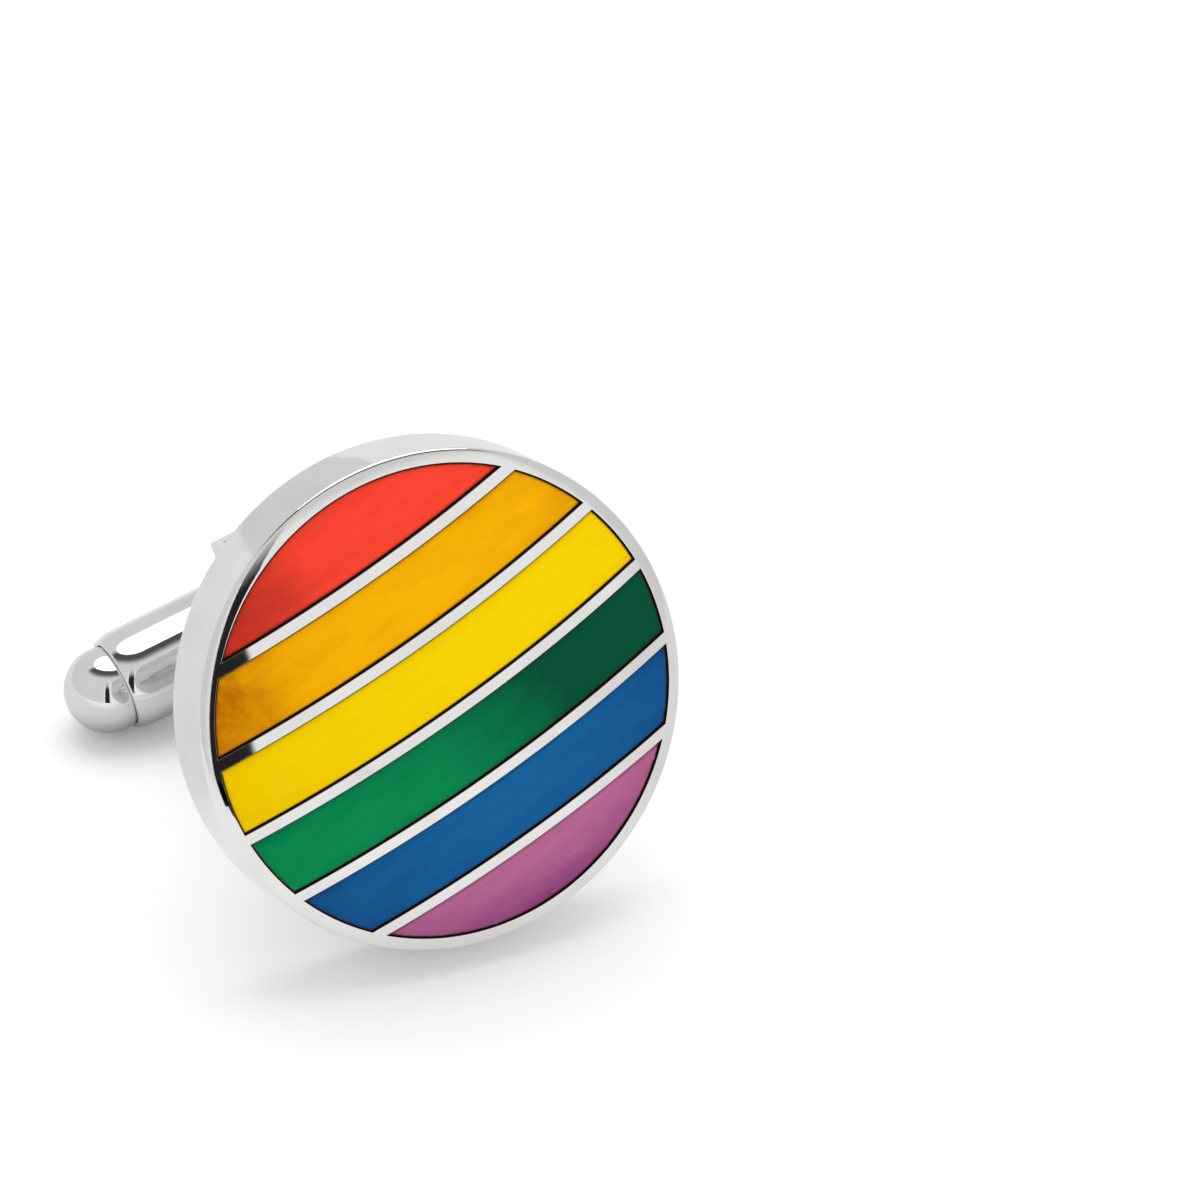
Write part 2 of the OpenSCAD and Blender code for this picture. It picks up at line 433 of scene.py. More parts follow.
@dataclass(frozen=True)
class Enamel(Finish):
    """Enamel in one stripe's cell, with painted highlight and painted shade in its colour.

    The row counts from the top of the face. The colour is light at the painted highlight's middle
    and goes over into the painted shade colour deep by the highlight's reach, along and across the
    stripes. A painted dark reflection darkens the stripe from the first place of patch_x
    to the second, and its blots are the share of it that is uneven. A painted dark rim of shade
    runs where the enamel meets the metal.
    """

    name: str
    row: int
    # light and deep are the enamel's colour at its painted highlight and in its painted shade.
    light: Colour
    deep: Colour
    # The painted highlight's middle and reach, along and across the stripes.
    glow: Pair
    reach: Pair
    streak: float = 0.16
    mottle: float = 0.05
    # A painted dark reflection over part of the stripe, with uneven blots.
    patch: float = 0.0
    patch_x: Pair = (-4.2, -7.0)
    blots: float = 0.75
    coat: float = 0.16
    # Painted shade along the rim where the enamel meets the metal, and its width.
    edge: Colour = (0.085, 0.028, 0.014)
    edge_w: float = 0.055
    # The most painted shade that the colour takes.
    deepest: float = 1.15

    def paint(self, tree: ShaderTree) -> None:
        """Fills the material's nodes.

        Args:
            tree: The nodes.
        """
        turn = SIZES.line_turn
        place = tree.face_place(turn=turn)
        x, y, _ = tree.axes(place)
        low, high = SIZES.stripe(self.row)
        inside = (SIZES.enamel_r - SIZES.gap - tree.length(x, y)).least(y - low).least(high - y)
        # The painted shaded rim along the cell walls.
        rim = inside.step(self.edge_w * 1.6, self.edge_w * 0.6)
        streaks = tree.noise(tree.face_place((0.3, 1.5, 1.5), turn), 1.2, 4.0, 0.55)
        fine = tree.noise(place, 3.4, 4.0, 0.62)
        # How far the colour goes from the painted highlight into the painted shade.
        far_x = (x - self.glow[0]) * (1.0 / self.reach[0])
        far_y = (y - self.glow[1]) * (1.0 / self.reach[1])
        drawn = self.streak * (streaks * 2.0 - 1.0) * 2.0
        specks = self.mottle * (fine * 2.0 - 1.0) * 2.0
        depth = far_x * far_x + far_y * far_y + drawn + specks
        # The painted dark reflection over part of the stripe.
        if self.patch:
            reflection_blot = tree.noise(place, 0.9, 5.0, 0.68).step(0.40, 0.66)
            uneven = 1.0 - self.blots + self.blots * reflection_blot
            depth = depth + self.patch * uneven * x.step(*self.patch_x)
        # The enamel colour with its painted highlight and shade; the painted shaded rim goes over
        # it below.
        body = tree.mix(depth.most(0.0).least(self.deepest), self.light, self.deep)
        tree.surface(
            {
                "Base Color": tree.mix(rim, body, self.edge),
                "Metallic": 0.0,
                "Roughness": 0.30 + 0.12 * fine,
                "Specular IOR Level": 0.0,
                "Coat Weight": self.coat - 0.3 * self.coat * streaks,
                "Coat Roughness": 0.06,
                "Coat IOR": 1.5,
                "Normal": tree.bump(0.6 * streaks + 0.4 * fine, 0.006),
            }
        )


@dataclass(frozen=True)
class PaleFloor(Finish):
    """Plain white table top that keeps the soft shadow.

    In mirrors it carries on the tent's dark stand, from a distance that stand_from gives in
    metres, and is a little brighter towards the front.
    """

    name: str = "pale_floor"
    colour: Colour = (0.97, 0.97, 0.97)
    lift: float = 0.09
    mirrored: float = 0.84
    ahead: float = 0.22
    ahead_turn: float = 25.0
    ahead_edge: Pair = (0.2, 0.7)
    stand_from: Pair = (0.085, 0.105)

    def paint(self, tree: ShaderTree) -> None:
        """Fills the material's nodes.

        Args:
            tree: The nodes.
        """
        x, y, _ = tree.axes(tree.node("TexCoord", {}, "Object"))
        glossy = tree.ray(Ray.GLOSSY)
        ahead = Tent.towards(tree, x, y, self.ahead_turn).step(*self.ahead_edge)
        light = self.lift * tree.ray(Ray.CAMERA) + self.ahead * ahead * glossy
        matt = tree.node("BsdfDiffuse", {"Color": rgba(self.colour)})
        white = tree.node("Emission", {"Strength": light})
        whole = tree.node("AddShader", {0: matt, 1: white})
        black = tree.node("Emission", {"Color": rgba((0.0, 0.0, 0.0))})
        stand = Tent.stand(tree, x, y) * tree.length(x, y).step(*self.stand_from)
        stand = stand.most(1.0 - self.mirrored) * glossy
        tree.finish(tree.node("MixShader", {0: stand, 1: whole, 2: black}))


@dataclass(frozen=True)
class Tent:
    """Light grey tent with a white front, a dark stand and a dark edge round the lamp overhead.

    Turns are to the left, as the camera sees it. Each pair about an edge gives the cosine, height
    or share of the lamp's size where the edge starts and where it is full.
    """

    level: float = 0.90
    front: float = 0.34
    sheen: float = 0.05
    front_turn: float = -12.0
    front_side: Pair = (0.69, 0.81)
    front_top: Pair = (0.80, 0.66)
    stand_turn: float = 20.5
    stand_half: float = 6.2
    stand_top: Pair = (0.84, 0.55)
    stand_dark: float = 0.98
    lamp_turn: float = 23.4
    lamp_ahead: float = -0.425
    lamp_half: Pair = (0.60, 0.5125)
    lamp_rim: Pair = (0.94, 0.99)
    gap_end: Pair = (1.90, 1.30)
    gap_front: Pair = (-0.35, -0.10)
    gap_dark: float = 0.88

    def world(self) -> bpy.types.World:
        """Makes the world, plain white to the camera.

        Returns:
            The world.
        """
        world = bpy.data.worlds.new("white_tent")
        tree = ShaderTree(world)
        x, y, z = tree.axes(tree.node("TexCoord", {}, "Generated"))
        side = self.towards(tree, x, y, self.front_turn).step(*self.front_side)
        panel = side * z.step(*self.front_top)
        glossy = tree.ray(Ray.GLOSSY)
        tent = self.level + self.front * panel + self.sheen * glossy * (1.0 - panel)
        stand = self.stand(tree, x, y) * z.step(*self.stand_top)
        gap = self._lamp_gap(tree, x, y, z)
        dark = (self.stand_dark * stand).most(self.gap_dark * gap)
        seen = tree.ray(Ray.CAMERA)
        level = tent * (1.0 - dark * glossy) * (1.0 - seen) + seen
        shader = tree.node("Background", {"Strength": level})
        tree.finish(shader, "OutputWorld")
        return world

    @staticmethod
    def _forward(x: Value, y: Value, turn: float) -> Value:
        """Gives how far a direction goes towards the front, turned to the left."""
        turn = math.radians(turn)
        return x * -math.sin(turn) - y * math.cos(turn)

    @classmethod
    def towards(cls, tree: ShaderTree, x: Value, y: Value, turn: float) -> Value:
        """Gives the cosine in plan between a direction and the front, turned to the left."""
        return cls._forward(x, y, turn) / tree.length(x, y)

    @classmethod
    def stand(cls, tree: ShaderTree, x: Value, y: Value) -> Value:
        """Gives 1 towards the dark stand in front of the table and 0 elsewhere."""
        edge = [math.cos(math.radians(cls.stand_half + soft)) for soft in (0.5, -0.5)]
        return cls.towards(tree, x, y, cls.stand_turn).step(*edge)

    def _lamp_gap(self, tree: ShaderTree, x: Value, y: Value, z: Value) -> Value:
        """Gives 1 in the dark gap between the lamp overhead and the tent's front.

        Args:
            tree: The nodes.
            x: Part of the direction along X.
            y: Part of the direction along Y.
            z: Part of the direction upwards.

        Returns:
            The mask.
        """
        rise = z.most(0.2)
        ahead = self._forward(x, y, self.lamp_turn) / rise
        aside = self._forward(x, y, self.lamp_turn - 90.0) / rise
        wide, deep = self.lamp_half
        lamp = tree.length(aside * (1.0 / wide), (ahead - self.lamp_ahead) * (1.0 / deep))
        return lamp.step(*self.lamp_rim) * lamp.step(*self.gap_end) * ahead.step(*self.gap_front)


# ---- bench work


class Pick(Enum):
    """What kind of element a selection holds."""

    VERTS = "VERT"
    EDGES = "EDGE"
    FACES = "FACE"


class Join(Enum):
    """What a tool does to a piece."""

    CUT = "DIFFERENCE"
    ADD = "UNION"
    TRIM = "INTERSECT"


class Bench:
    """One piece on the bench, shaped in edit mode."""

    def __init__(self, name: str, add: Callable[..., Any], **options: Any) -> None:
        """Adds a primitive and opens it for editing.

        Args:
            name: The piece's name.
            add: The operator that adds the primitive.
            options: What the operator is given.
        """
        if bpy.context.mode != "OBJECT":
            bpy.ops.object.mode_set(mode="OBJECT")
        bpy.ops.object.select_all(action="DESELECT")
        add(**options)
        self.piece = bpy.context.object
        self.piece.name = name
        bpy.ops.object.transform_apply(location=True, rotation=True, scale=True)
        self.edit()

    def edit(self) -> None:
        """Opens the piece for editing with everything selected."""
        self._only()
        bpy.ops.object.mode_set(mode="EDIT")
        self.all()

    def close(self) -> None:
        """Leaves edit mode with only this piece selected."""
        bpy.ops.object.mode_set(mode="OBJECT")
        self._only()

    def _only(self) -> None:
        """Selects this object alone and makes it the active one."""
        bpy.ops.object.select_all(action="DESELECT")
        self.piece.select_set(True)
        bpy.context.view_layer.objects.active = self.piece

    def settle(self, matrix: Matrix) -> None:
        """Turns, scales and moves the whole piece, and leaves it closed.

        Args:
            matrix: The turn, scale and move.
        """
        self.close()
        self.piece.matrix_world = matrix
        bpy.ops.object.transform_apply(location=True, rotation=True, scale=True)

    def all(self) -> None:
        """Selects everything."""
        bpy.ops.mesh.select_all(action="SELECT")

    def none(self, kind: Pick) -> None:
        """Selects nothing, ready to select elements of one kind."""
        bpy.ops.mesh.select_mode(type=kind.value)
        bpy.ops.mesh.select_all(action="DESELECT")

    def pick(self, kind: Pick, test: Callable[[Vector], bool]) -> None:
        """Selects only the elements whose middle passes a test.

        Args:
            kind: Vertices, edges or faces.
            test: Says of a middle whether its element is wanted.
        """
        self.none(kind)
        mesh = bmesh.from_edit_mesh(self.piece.data)
        for part in getattr(mesh, kind.name.lower()):
            corners = [part] if kind is Pick.VERTS else part.verts
            if test(sum((c.co for c in corners), Vector()) / len(corners)):
                part.select_set(True)
        bmesh.update_edit_mesh(self.piece.data)

    def rim(self) -> None:
        """Selects only the open rim of a piece that isn't closed yet."""
        self.none(Pick.EDGES)
        bpy.ops.mesh.select_non_manifold(
            extend=False, use_wire=False, use_boundary=True, use_multi_face=False,
            use_non_contiguous=False, use_verts=False,
        )

    def move(self, x: float = 0.0, y: float = 0.0, z: float = 0.0) -> None:
        """Moves what is selected."""
        bpy.ops.transform.translate(value=(x, y, z))

    def grow(self, x: float = 1.0, y: float = 1.0, z: float = 1.0) -> None:
        """Scales what is selected about the origin."""
        bpy.ops.transform.resize(value=(x, y, z), center_override=ORIGIN)

    def extrude(self, x: float = 0.0, y: float = 0.0, z: float = 0.0) -> None:
        """Extrudes what is selected by a move."""
        bpy.ops.mesh.extrude_region_move(TRANSFORM_OT_translate={"value": (x, y, z)})

    def inset(self, width: float, lift: float = 0.0) -> None:
        """Insets the selected faces and then lifts them."""
        bpy.ops.mesh.inset(thickness=width, depth=0.0)
        self.move(z=lift)

    def round_corners(self, radius: float, segments: int) -> None:
        """Rounds the selected corners of a flat shape."""
        bpy.ops.mesh.bevel(offset=radius, segments=segments, affect="VERTICES")

    def through(self, profile: Sequence[Pair]) -> None:
        """Pulls the selected ring or disc through a profile round the Z axis.

        Args:
            profile: Radius and height of what is selected, and of each next ring.
        """
        for (radius, height), (next_radius, next_height) in zip(profile, profile[1:]):
            self.extrude(z=next_height - height)
            wider = next_radius / radius
            self.grow(wider, wider)

    def slice(self, place: Point, normal: Point, clear: bool = False, fill: bool = False) -> None:
        """Cuts the whole piece by a plane.

        Args:
            place: A point of the plane.
            normal: Its normal.
            clear: Whether what lies on the normal's side goes.
            fill: Whether the cut is closed.
        """
        self.all()
        bpy.ops.mesh.bisect(
            plane_co=place, plane_no=normal, use_fill=fill, clear_outer=clear, threshold=0.0001
        )

    def modify(self, kind: str, **settings: Any) -> None:
        """Adds a modifier and applies it.

        Args:
            kind: The modifier's type.
            settings: Its settings.
        """
        self.close()
        modifier = self.piece.modifiers.new(kind.lower(), kind)
        for name, value in settings.items():
            setattr(modifier, name, value)
        bpy.ops.object.modifier_apply(modifier=modifier.name)
        self.edit()

    def carve(self, tool: "Bench", join: Join) -> None:
        """Joins, cuts or trims the piece with a tool, which is then thrown away.

        Args:
            tool: The other shape.
            join: What the tool does.
        """
        tool.tidy()
        tool.close()
        self.tidy()
        self.modify("BOOLEAN", operation=join.value, solver="EXACT", object=tool.piece)
        self.close()
        bpy.data.objects.remove(tool.piece)
        self.edit()

    def soften(self, width: float, segments: int = 2, angle: float = 40.0) -> None:
        """Rounds every edge that is sharper than an angle.

        Args:
            width: Width of the rounding.
            segments: Faces across it.
            angle: The angle.
        """
        limit = math.radians(angle)
        self.modify(
            "BEVEL", width=width, segments=segments, limit_method="ANGLE", angle_limit=limit
        )

    def tidy(self) -> None:
        """Merges doubles and turns every face outwards."""
        if bpy.context.mode == "OBJECT":
            self.edit()
        self.all()
        bpy.ops.mesh.remove_doubles(threshold=0.00005)
        bpy.ops.mesh.normals_make_consistent(inside=False)

    def sort(self) -> None:
        """Sorts the mesh by place, where the order that operators leave would change a bevel."""
        self.close()
        mesh = self.piece.data
        verts = sorted(mesh.vertices, key=lambda v: v.co[:])
        places = [v.co[:] for v in verts]
        rank = {v.index: i for i, v in enumerate(verts)}
        faces = [[rank[i] for i in face.vertices] for face in mesh.polygons]
        starts = [face.index(min(face)) for face in faces]
        faces = sorted(face[first:] + face[:first] for face, first in zip(faces, starts))
        mesh.clear_geometry()
        mesh.from_pydata(places, [], faces)
        self.edit()


def turned(name: str, profile: Sequence[Pair], sides: int = 128, filled: bool = True) -> Bench:
    """Turns a shape about the Z axis.

    Args:
        name: The piece's name.
        profile: Radius and height of each ring. A single ring gives a flat disc.
        sides: Sides of each ring.
        filled: Whether the first and last ring are closed.

    Returns:
        The piece, open for editing.
    """
    radius, height = profile[0]
    fill = "NGON" if filled else "NOTHING"
    bench = Bench(
        name, bpy.ops.mesh.primitive_circle_add, vertices=sides, radius=radius,
        location=(0.0, 0.0, height), fill_type=fill,
    )
    bench.through(profile)
    return bench


def plate(name: str, width: float, length: float, place: Point, corner: float = 0.0) -> Bench:
    """Starts a piece from a rectangle with rounded corners.

    Args:
        name: The piece's name.
        width: Its size along X.
        length: Its size along Y.
        place: Its middle.
        corner: Radius of its corners.

    Returns:
        The piece, open for editing with everything selected.
    """
    bench = Bench(name, bpy.ops.mesh.primitive_plane_add, size=1.0)
    bench.grow(width, length)
    if corner:
        bench.round_corners(corner, 10)
        bench.all()
    bench.move(*place)
    return bench


# ---- studio


@dataclass
class Studio:
    """Camera, table and soft light of the photograph. Table and lamp are in metres."""

    camera_place: Point = (-93.3412, 128.8056, 348.9326)
    camera_turn: Point = (-12.3034, -21.9377, -21.6276)
    focal_px: float = 10373.4
    image_px: float = 1200.0
    sensor: float = 36.0
    table: float = 1.2
    lamp_place: Point = (0.15, 0.31, 0.80)
    lamp_size: Pair = (0.96, 0.82)
    lamp_turn: float = -23.4
    lamp_level: float = 1.7

    def build(self) -> None:
        """Adds the camera, the table, the lamp and the surroundings."""
        bpy.context.scene.view_settings.view_transform = "Standard"
        self._camera()
        self._table()
        self._lamp()
        bpy.context.scene.world = Tent().world()

    def _camera(self) -> None:
        """Places the camera where the photograph's was, seen from the face."""
        lens = bpy.data.cameras.new("photo_camera")
        lens.lens = self.focal_px / self.image_px * self.sensor
        lens.sensor_width = self.sensor
        lens.clip_start, lens.clip_end = 0.01, 20.0
        lens.dof.use_dof = False
        turn = Euler([math.radians(a) for a in self.camera_turn], "XYZ").to_matrix().to_4x4()
        place = Matrix.Translation(Vector(self.camera_place) * MM)
        camera = bpy.data.objects.new("photo_camera", lens)
        camera.matrix_world = FACE @ place @ turn
        bpy.context.scene.collection.objects.link(camera)
        bpy.context.scene.camera = camera
        LOG.info("camera at %s", [round(c, 4) for c in camera.matrix_world.translation])

    def _table(self) -> None:
        """Adds the table top."""
        bpy.ops.mesh.primitive_plane_add(size=self.table, location=ORIGIN)
        top = bpy.context.object
        top.name = "table_top"
        top.data.materials.append(PaleFloor().material())

    def _lamp(self) -> None:
        """Adds the round soft box overhead, facing down. A level of 1 looks white."""
        light = bpy.data.lights.new("top_box", "AREA")
        light.shape = "ELLIPSE"
        width, depth = light.size, light.size_y = self.lamp_size
        light.energy = self.lamp_level * math.pi * width * depth * math.pi / 4
        lamp = bpy.data.objects.new("top_box", light)
        lamp.matrix_world = Matrix.Translation(self.lamp_place) @ turn_by(self.lamp_turn, "Z")
        bpy.context.scene.collection.objects.link(lamp)


# ---- the cufflink


class Assembly:
    """A sub-assembly of the cufflink, whose pieces all ride on one body.

    The place is where a piece that is being dressed goes from the bench.
    """

    body: ClassVar[str] = "face_and_post"
    place: Matrix = Matrix()

    def dress(
        self, bench: Bench, finish: Finish, slot: str, node: str = "", angle: float = 32.0
    ) -> None:
        """Shades a piece smooth, sets it in its place, gives it its finish and lets it ride.

        Args:
            bench: The piece on the bench.
            finish: Its finish.
            slot: The record's material slot that it belongs to; not used.
            node: The CAD node that it replaces, if it replaces one.
            angle: Edges sharper than this stay sharp.
        """
        bench.tidy()
        bench.close()
        bpy.ops.object.shade_smooth_by_angle(angle=math.radians(angle))
        bench.modify("WEIGHTED_NORMAL", keep_sharp=True)
        bench.settle(FACE @ Matrix.Scale(MM, 4) @ self.place)
        piece = bench.piece
        piece.data.materials.clear()
        piece.data.materials.append(finish.material())
        if node:
            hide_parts(node)
        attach(piece, self.body)
        LOG.info("%s: %d faces, rides on %s", piece.name, len(piece.data.polygons), self.body)


@dataclass
class StripedFace(Assembly):
    """The case with its domed face, and the six enamel stripes in its cells.

    The rim's profile goes from the dome's edge over the rounded edge to the field in the back.
    Flat pieces are laid on the cap, a fine piece of the dome's ball that is thrown away at last.
    """

    sides: int = 256
    cap_rings: int = 64
    cap_r: float = 9.7
    grid: float = 0.45
    cell_rows: int = 6
    cell_edge: float = 0.025
    ease: float = 0.02
    sink: float = 0.08
    floor_gap: float = 0.02
    shortest: float = 0.05
    meniscus: float = 0.12
    dip: float = 0.07
    rim: Sequence[Pair] = (
        (SIZES.enamel_r, 0.1792), (9.05, 0.1627), (9.08, 0.1516), (9.15, 0.1243), (9.22, 0.0953),
        (9.29, 0.0644), (9.36, 0.0315), (9.41, 0.0055), (9.45, -0.0215), (9.475, -0.0474),
        (9.49, -0.0734), (9.497, -0.0963), (9.5, -0.1248), (9.5, -1.5), (9.5, -2.93),
        (9.482, -3.0), (9.43, -3.06), (9.35, -3.1), (9.04, -3.1), (9.0, -3.07),
        (8.98, SIZES.seat_z),
    )
    # The case's metal paints shade on its cells' walls and floors.
    metal: SilverMetal = SilverMetal(
        "case_silver",
        tint=(0.775, 0.775, 0.77),
        shade=(0.725, 0.725, 0.72),
        ripple=0.0004,
        cells=True,
    )
    # Each stripe's colour at its painted highlight and in its painted shade, then that highlight's
    # middle and reach; red and orange carry a painted dark reflection.
    enamels: Sequence[Enamel] = (
        Enamel("red", 0, (1.0, 0.060, 0.030), (0.42, 0.024, 0.014), (2.6, 6.6), (14.0, 9.0),
               patch=0.42, patch_x=(-1.4, -3.6), blots=0.25, coat=0.14),
        Enamel("orange", 1, (1.0, 0.475, 0.001), (0.54, 0.170, 0.002), (0.4, 4.4), (14.0, 9.0),
               patch=0.80, blots=0.5, coat=0.04),
        Enamel("yellow", 2, (1.0, 0.690, 0.001), (0.80, 0.440, 0.001), (1.5, 1.5), (18.0, 9.0),
               streak=0.10, coat=0.04),
        Enamel("green", 3, (0.001, 0.262, 0.082), (0.001, 0.082, 0.038), (-5.6, -2.0), (9.5, 4.0),
               streak=0.12, coat=0.08),
        Enamel("blue", 4, (0.006, 0.124, 0.345), (0.003, 0.054, 0.205), (0.0, -4.2), (10.5, 3.6),
               mottle=0.10, coat=0.12),
        Enamel("purple", 5, (0.520, 0.150, 0.310), (0.235, 0.036, 0.175), (0.4, -6.0), (11.0, 3.1),
               streak=0.12),
    )

    def build(self) -> None:
        """Builds the case and the stripes."""
        steep = math.degrees(math.acos(self.cap_r / SIZES.dome_r))
        outline = arc((0.0, SIZES.dome_z), SIZES.dome_r, steep, 89.98, self.cap_rings)
        cap = turned("dome_cap", outline, self.sides, filled=False)
        cap.close()
        self.cap = cap.piece
        self.place = turn_by(SIZES.line_turn, "Z")
        self._case()
        for enamel in self.enamels:
            self._stripe(enamel)
        bpy.data.objects.remove(self.cap)

    def _lay(self, bench: Bench, depth: float = 0.0) -> None:
        """Lays a flat piece on a ball that shares the dome's centre.

        Args:
            bench: The flat piece, open for editing.
            depth: How far that ball lies under the dome.
        """
        share = 1.0 - depth / SIZES.dome_r
        self.cap.scale = (share, share, share)
        self.cap.location = (0.0, 0.0, SIZES.dome_z * (1.0 - share))
        bench.modify(
            "SHRINKWRAP", target=self.cap, wrap_method="PROJECT", use_project_z=True,
            use_negative_direction=True, use_positive_direction=True,
        )

    def _cells(self) -> list[Pair]:
        """Gives the low and the high wall of each cell, which is a little wider than its stripe."""
        walls = map(SIZES.stripe, range(SIZES.stripes))
        return [(low - self.ease, high + self.ease) for low, high in walls]

    def _mesh_over(self, bench: Bench, cuts: Iterable[float]) -> None:
        """Cuts a flat piece into a grid.

        Args:
            bench: The flat piece.
            cuts: Places of the cuts along the stripes.
        """
        for y in cuts:
            bench.slice((0.0, y, 0.0), (0.0, 1.0, 0.0))
        steps = int(SIZES.face_r / self.grid)
        for i in range(-steps, steps + 1):
            bench.slice((i * self.grid, 0.0, 0.0), (1.0, 0.0, 0.0))

    def _case(self) -> None:
        """Builds the drum with its domed top and its six cells."""
        bench = turned("case_shell", [(SIZES.enamel_r, 0.0)], self.sides)
        cells = self._cells()
        walls = [wall for cell in cells for wall in cell if abs(wall) < SIZES.enamel_r]
        rows = self.cell_rows
        inner = [low + (high - low) * i / rows for low, high in cells for i in range(1, rows)]
        self._mesh_over(bench, [*walls, *inner])
        self._lay(bench)
        bench.rim()
        bench.through(self.rim)
        bpy.ops.mesh.edge_face_add()
        bench.pick(Pick.FACES, self._in_cell)
        bench.extrude(z=-SIZES.cell)
        bench.soften(self.cell_edge, angle=60.0)
        self.dress(bench, self.metal, "polished_case", "case")

    def _in_cell(self, place: Vector) -> bool:
        """Says whether a face of the case, with this middle, is the top of one of the cells."""
        on_dome = place.z >= -0.5 and place.xy.length <= SIZES.enamel_r - 0.001
        return on_dome and any(low < place.y < high for low, high in self._cells())

    def _stripe(self, enamel: Enamel) -> None:
        """Builds one stripe of enamel.

        Args:
            enamel: Its finish.
        """
        low, high = SIZES.stripe(enamel.row)
        low, high = low + SIZES.gap, high - SIZES.gap
        bench = turned("stripe_" + enamel.name, [(SIZES.enamel_r - SIZES.gap, 0.0)], self.sides)
        bench.slice((0.0, high, 0.0), (0.0, 1.0, 0.0), clear=True)
        bench.slice((0.0, low, 0.0), (0.0, -1.0, 0.0), clear=True)
        bench.all()
        bpy.ops.mesh.remove_doubles(threshold=self.shortest)
        bench.inset(self.meniscus)
        low, high = max(low, -SIZES.enamel_r), min(high, SIZES.enamel_r)
        steps = int((high - low) / self.grid) + 1
        self._mesh_over(bench, [low + (high - low) * i / steps for i in range(1, steps)])
        self._lay(bench, self.sink)
        bench.rim()
        bench.move(z=-self.dip)
        bench.all()
        bench.extrude(z=self.sink + self.floor_gap - SIZES.cell)
        node = "enamel_" + enamel.name
        self.dress(bench, enamel, node, node)


@dataclass
class Back(Assembly):
    """What lies in the field of the back: rows of small bumps and the bare plate.

    The crown gives the rings of a bump above its first, as shares of its radius and height. Bumps
    and plate are made unturned and get their place, a small turn, last.
    """

    pitch: float = 0.38
    row: float = 0.33
    bump_r: float = 0.165
    bump_h: float = 0.085
    bump_sides: int = 8
    crown: Sequence[Pair] = ((0.97, 0.35), (0.72, 0.82), (0.30, 1.0))
    root: float = 0.01
    field_r: float = 8.93
    turn: float = -7.0
    foot_gap: float = 0.1
    plate_gap: float = 0.12
    plate_at: Pair = (0.4, 5.4)
    plate_w: float = 7.6
    plate_h: float = 1.7
    plate_corner: float = 0.26
    plate_rise: float = 0.085
    plate_ease: Pair = (0.02, 0.018)
    border: float = 0.16
    sunk: float = 0.055

    def build(self) -> None:
        """Builds the bumps and the plate."""
        self.place = turn_by(self.turn, "Z")
        self.middle = self.place.inverted() @ Vector((*self.plate_at, 0.0))
        self._bumps()
        self._plate()

    def _bumps(self) -> None:
        """Builds one bump and copies it in staggered rows."""
        rings = [(self.bump_r * r, SIZES.seat_z - h * self.bump_h) for r, h in self.crown]
        first = (self.bump_r, SIZES.seat_z + self.root)
        bench = turned("back_bumps", [first, *rings], self.bump_sides)
        bench.all()
        bpy.ops.mesh.duplicate_move(
            TRANSFORM_OT_translate={"value": (self.pitch / 2, self.row, 0.0)}
        )
        columns = 2 * int(self.field_r / self.pitch) + 2
        rows = int(self.field_r / self.row) + 1
        bench.all()
        bench.move(x=-self.pitch * (columns - 1) / 2, y=-self.row * (rows - 0.5))
        for count, step in ((columns, (self.pitch, 0.0, 0.0)), (rows, (0.0, 2 * self.row, 0.0))):
            bench.modify(
                "ARRAY", count=count, use_relative_offset=False, use_constant_offset=True,
                constant_offset_displace=step,
            )
        self._clear(bench)
        self.dress(bench, SilverMetal("field_silver", Wear.TUMBLED), "polished_case", angle=60.0)

    def _clear(self, bench: Bench) -> None:
        """Takes away the bumps that would lie outside the field, on the foot or on the plate.

        Args:
            bench: The bumps.
        """
        bench.none(Pick.VERTS)
        mesh = bmesh.from_edit_mesh(bench.piece.data)
        mesh.verts.ensure_lookup_table()
        each = self.bump_sides * (1 + len(self.crown))
        for first in range(0, len(mesh.verts), each):
            group = mesh.verts[first:first + each]
            middle = sum((v.co for v in group), Vector()) / each
            middle.z = 0.0
            outside = middle.length >= self.field_r - self.bump_r
            spot, off = self.place @ middle, middle - self.middle
            on_foot = self._within(spot, SIZES.foot_x, SIZES.foot_y, self.foot_gap)
            on_plate = self._within(off, self.plate_w, self.plate_h, self.plate_gap)
            if outside or on_foot or on_plate:
                for vert in group:
                    vert.select_set(True)
        bmesh.update_edit_mesh(bench.piece.data)
        bpy.ops.mesh.delete(type="VERT")

    @staticmethod
    def _within(spot: Vector, width: float, length: float, gap: float) -> bool:
        """Says whether a spot lies on a rectangle round the origin, or closer to it than a gap."""
        return abs(spot.x) < width / 2 + gap and abs(spot.y) < length / 2 + gap

    def _plate(self) -> None:
        """Builds the bare plate with its thin raised border."""
        floor = (self.middle.x, self.middle.y, SIZES.seat_z + self.root)
        bench = plate("back_plate", self.plate_w, self.plate_h, floor, self.plate_corner)
        bench.extrude(z=-self.plate_rise)
        inward, up = self.plate_ease
        bench.inset(inward, -up)
        bench.inset(self.border)
        bench.inset(inward, self.sunk)
        self.dress(bench, SilverMetal("plate_silver"), "polished_case")


